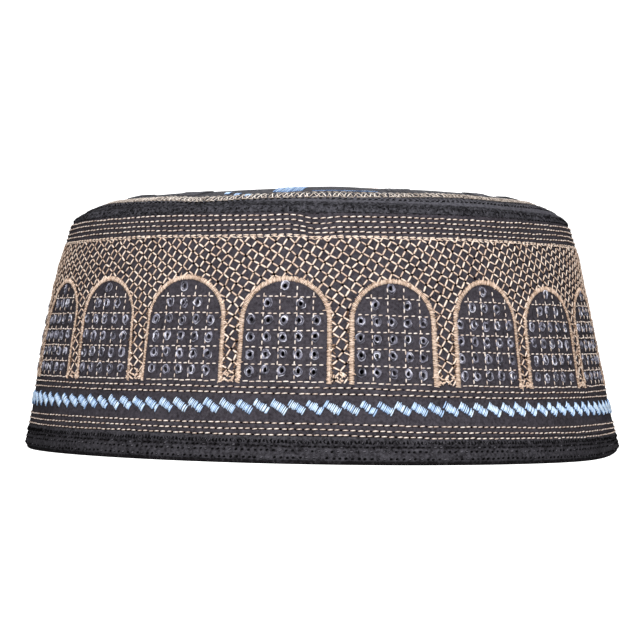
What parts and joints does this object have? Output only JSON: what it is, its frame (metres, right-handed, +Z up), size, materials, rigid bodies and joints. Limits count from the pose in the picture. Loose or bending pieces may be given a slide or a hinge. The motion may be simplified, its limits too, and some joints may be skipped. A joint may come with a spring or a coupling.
{
  "type": "tubeteika skullcap",
  "caption": "Round brimless cap with an upright embroidered cloth wall, pierced eyelets, a bound hem and a gently domed flat crown.",
  "frame": {"origin": "centre of the cap on the flat underside of the hem", "axes": "+Z up through the crown, the front of the picture towards -Y, +X to the right seen from the front"},
  "size_m": [0.1866, 0.1866, 0.0835],
  "materials": {
    "side_cloth": "matt charcoal cotton, embroidered in tan, grey and light blue thread",
    "hem_cloth": "matt near-black cotton binding with rows of black stitches",
    "shoulder_cloth": "matt near-black cotton, puckered by black stitches",
    "crown_cloth": "matt charcoal cotton, embroidered in tan and light blue thread"
  },
  "bodies": {
    "root": {"side_band": "side_cloth", "hem_band": "hem_cloth", "crown_seam": "shoulder_cloth", "crown_panel": "crown_cloth"}
  },
  "joints": []
}
